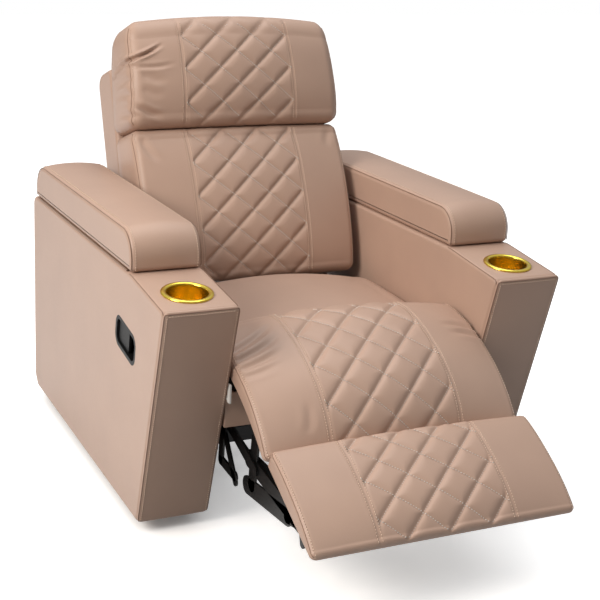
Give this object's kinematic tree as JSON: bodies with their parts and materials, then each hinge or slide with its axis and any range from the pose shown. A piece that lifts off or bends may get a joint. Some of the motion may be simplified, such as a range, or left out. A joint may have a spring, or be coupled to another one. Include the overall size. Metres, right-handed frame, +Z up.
{
  "type": "cinema recliner seat",
  "caption": "Cinema recliner armchair with quilted cushions, a fold-out footrest, storage arms under hinged padded lids, and sunken cup holders.",
  "frame": {"origin": "centre of the bounding box's base, on the floor, with the footrest out", "axes": "+X to the right seen from the front, the front of the seat faces -Y, +Z up"},
  "size_m": [0.955, 1.4502, 1.0337],
  "materials": {
    "leatherette": "soft satin, fine grain, light thread",
    "timber": "plain sawn",
    "black_steel": "black powder coat",
    "zinc_steel": "dull zinc",
    "gold_metal": "brushed bore, polished rim",
    "black_plastic": "moulded",
    "white_plastic": "moulded",
    "webbing": "woven elastic"
  },
  "bodies": {
    "root": {"arm_feet": "black_plastic", "arm_front_panel_left": "leatherette", "arm_front_panel_right": "leatherette", "arm_inner_panel_left": "leatherette", "arm_inner_panel_right": "leatherette", "arm_outer_panel_left": "leatherette", "arm_outer_panel_right": "leatherette", "arm_rear_panel_left": "leatherette", "arm_rear_panel_right": "leatherette", "arm_top_board_left": "leatherette", "arm_top_board_right": "leatherette", "base_rails": "black_steel", "cross_tube_front": "black_steel", "cross_tube_rear": "black_steel", "cup_holder_left": "gold_metal", "cup_holder_right": "gold_metal", "flange_bolts": "zinc_steel", "foot_blocks": "timber", "lid_hinge_fixed_left": "zinc_steel", "lid_hinge_fixed_right": "zinc_steel", "release_housing": "black_plastic", "release_pin": "zinc_steel", "storage_tray_left": "black_plastic", "storage_tray_right": "black_plastic"},
    "lid_left": {"lid_hinge_moving_left": "zinc_steel", "lid_board_left": "timber", "lid_pad_left": "leatherette"},
    "lid_right": {"lid_hinge_moving_right": "zinc_steel", "lid_board_right": "timber", "lid_pad_right": "leatherette"},
    "release_flap": {"release_flap": "black_plastic"},
    "seat_carriage": {"seat_runners": "black_plastic", "side_plates": "black_steel", "carriage_tube": "black_steel", "front_rail": "leatherette", "seat_side_rails": "leatherette", "seat_rear_rail": "timber", "seat_webbing": "webbing", "seat_cushion": "leatherette", "chaise_pad": "leatherette", "seat_clips": "white_plastic", "carriage_pins": "zinc_steel"},
    "rear_links": {"rear_links": "black_steel", "rear_link_pins": "zinc_steel"},
    "front_links": {"front_links": "black_steel", "front_link_pins": "zinc_steel"},
    "idler_links": {"idler_links": "black_steel", "idler_link_pins": "zinc_steel"},
    "stay_links": {"stay_links": "black_steel"},
    "footrest": {"footrest_brackets": "black_steel", "footrest_board": "timber", "footrest_cushion": "leatherette"},
    "back": {"back_brackets": "black_steel", "back_uprights": "timber", "back_crossrails": "timber", "back_side_panels": "leatherette", "back_rear_panel": "leatherette", "back_top_cap": "leatherette", "lower_back_cushion": "leatherette", "headrest_cushion": "leatherette"}
  },
  "joints": [
    {"name": "seat_slide", "type": "slide", "parent": "root", "child": "seat_carriage", "axis": [0, 1, 0], "range_m": [0, 0.08], "deforming": ["chaise_pad"]},
    {"name": "ottoman_fold", "type": "hinge", "parent": "seat_carriage", "child": "rear_links", "pos_m": [0, -0.167, 0.239], "axis": [1, 0, 0], "range_deg": [0, 91.61]},
    {"name": "knee_pivot", "type": "hinge", "parent": "rear_links", "child": "front_links", "pos_m": [0, -0.34, 0.185], "axis": [1, 0, 0], "range_deg": [-147.12, 0]},
    {"name": "footrest_pivot", "type": "hinge", "parent": "front_links", "child": "footrest", "pos_m": [0, -0.55464, 0.1615], "axis": [1, 0, 0], "range_deg": [0, 115.52]},
    {"name": "idler_pivot", "type": "hinge", "parent": "seat_carriage", "child": "idler_links", "pos_m": [0, -0.1033, 0.2253], "axis": [1, 0, 0], "range_deg": [0, 86.98]},
    {"name": "stay_pivot", "type": "hinge", "parent": "idler_links", "child": "stay_links", "pos_m": [0, -0.27709, 0.19318], "axis": [1, 0, 0], "range_deg": [-131.23, 0]},
    {"name": "back_recline", "type": "hinge", "parent": "seat_carriage", "child": "back", "pos_m": [0, 0.39526, 0.29078], "axis": [-1, 0, 0], "range_deg": [-8, 20]},
    {"name": "lid_hinge_left", "type": "hinge", "parent": "root", "child": "lid_left", "pos_m": [-0.4755, -0.11, 0.58351], "axis": [0, -0.9996, 0.0275], "range_deg": [0, 95]},
    {"name": "lid_hinge_right", "type": "hinge", "parent": "root", "child": "lid_right", "pos_m": [0.4755, -0.11, 0.58351], "axis": [0, 0.9996, -0.0275], "range_deg": [0, 95]},
    {"name": "release_flap_pivot", "type": "hinge", "parent": "root", "child": "release_flap", "pos_m": [-0.468, -0.051, 0.40033], "axis": [0, 0.1392, -0.9903], "range_deg": [0, 24], "stiffness_Nm_per_rad": 0.3}
  ],
  "couplings": [
    {"joint": "ottoman_fold", "follows": "seat_slide", "rad_per_m": 19.985},
    {"joint": "knee_pivot", "follows": "seat_slide", "rad_per_m": -32.096},
    {"joint": "footrest_pivot", "follows": "seat_slide", "rad_per_m": 25.201},
    {"joint": "idler_pivot", "follows": "seat_slide", "rad_per_m": 18.976},
    {"joint": "stay_pivot", "follows": "seat_slide", "rad_per_m": -28.63}
  ]
}
